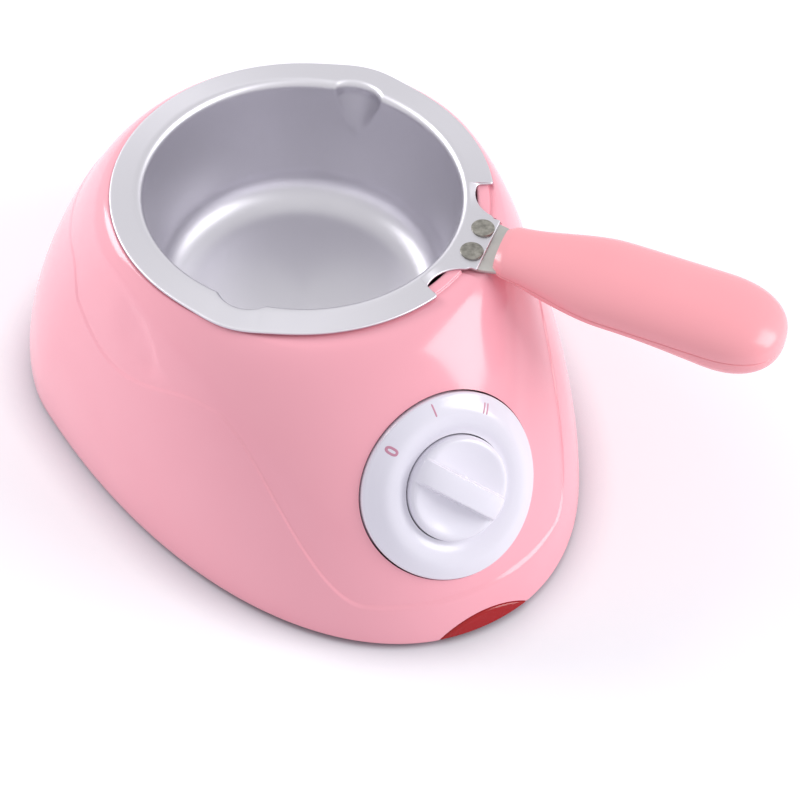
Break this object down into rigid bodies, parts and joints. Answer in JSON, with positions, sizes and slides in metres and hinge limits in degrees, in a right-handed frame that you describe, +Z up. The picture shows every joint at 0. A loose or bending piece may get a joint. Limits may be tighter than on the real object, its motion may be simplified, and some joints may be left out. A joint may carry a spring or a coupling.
{
  "type": "fondue pot",
  "caption": "Electric fondue pot: egg-shaped heated base with a rotary dial and red lamp, and a lift-out flanged metal pot with two pouring spouts and a side handle.",
  "frame": {"origin": "on the table, under the middle of the round pot", "axes": "+Z up, -Y out of the front with the dial, +X to the right of someone facing the dial"},
  "size_m": [0.1919, 0.2179, 0.094],
  "materials": {
    "housing_pink": "glossy moulded plastic",
    "cover_pink": "moulded plastic, fine grain",
    "grip_pink": "glossy moulded plastic",
    "dial_white": "glossy moulded plastic",
    "foot_rubber": "matt rubber",
    "steel": "zinc plated",
    "bowl_aluminium": "satin, spun",
    "well_aluminium": "mill finish",
    "mica": "matt mica sheet",
    "element": "oxidised",
    "black_plastic": "matt moulded plastic",
    "fuse_gold": "lacquered can",
    "sleeve_white": "woven glass sleeve",
    "switch_grey": "matt moulded plastic",
    "contact_brass": "bright",
    "rotor_ivory": "matt moulded plastic",
    "lens_red": "glossy, see-through red",
    "neon_glass": "clear glass",
    "holder_white": "matt moulded plastic",
    "resistor": "matt lacquer",
    "lead_brown": "soft plastic insulation",
    "lead_black": "soft plastic insulation",
    "lead_blue": "soft plastic insulation",
    "lead_white": "silicone insulation",
    "lead_grey": "soft plastic insulation",
    "lead_green": "soft plastic insulation",
    "gland_grey": "matt rubber"
  },
  "bodies": {
    "base": {"upper_housing": "housing_pink", "bottom_cover": "cover_pink", "rubber_feet": "foot_rubber", "cover_screws": "steel", "well_cup": "well_aluminium", "well_stud": "steel", "upper_mica": "mica", "heating_element": "element", "lower_mica": "mica", "clamp_plate": "well_aluminium", "stud_nuts": "steel", "heat_shield": "well_aluminium", "shield_screws": "steel", "thermostat": "black_plastic", "thermostat_strap": "steel", "thermal_fuse": "fuse_gold", "fuse_sleeve": "sleeve_white", "dial_bezel": "dial_white", "switch_cover": "switch_grey", "switch_base": "switch_grey", "switch_contacts": "contact_brass", "switch_screws": "steel", "detent_ball": "steel", "detent_leaf": "steel", "lamp_lens": "lens_red", "neon_lamp": "neon_glass", "lamp_holder": "holder_white", "lamp_resistor": "resistor", "terminal_block": "holder_white", "terminal_screws": "contact_brass", "block_screws": "steel", "cord_gland": "gland_grey", "cord_clamp": "holder_white", "clamp_screws": "steel", "live_lead": "lead_brown", "switched_lead": "lead_black", "fuse_leads": "lead_white", "neutral_lead": "lead_blue", "lamp_leads": "lead_grey", "earth_lead": "lead_green"},
    "knob": {"knob": "dial_white", "knob_spring": "steel", "switch_shaft": "steel", "detent_rotor": "rotor_ivory"},
    "pot": {"pot_bowl": "bowl_aluminium", "handle_bracket": "steel", "bracket_rivets": "steel", "handle_upper": "grip_pink", "handle_lower": "grip_pink", "handle_screws": "steel"}
  },
  "joints": [
    {"name": "knob_turn", "type": "hinge", "parent": "base", "child": "knob", "pos_m": [0, -0.0996, 0.0459], "axis": [0, 0.8517, -0.524], "range_deg": [0, 80]},
    {"name": "pot_lift", "type": "slide", "parent": "base", "child": "pot", "axis": [0, 0, 1], "range_m": [0, 0.06]}
  ]
}
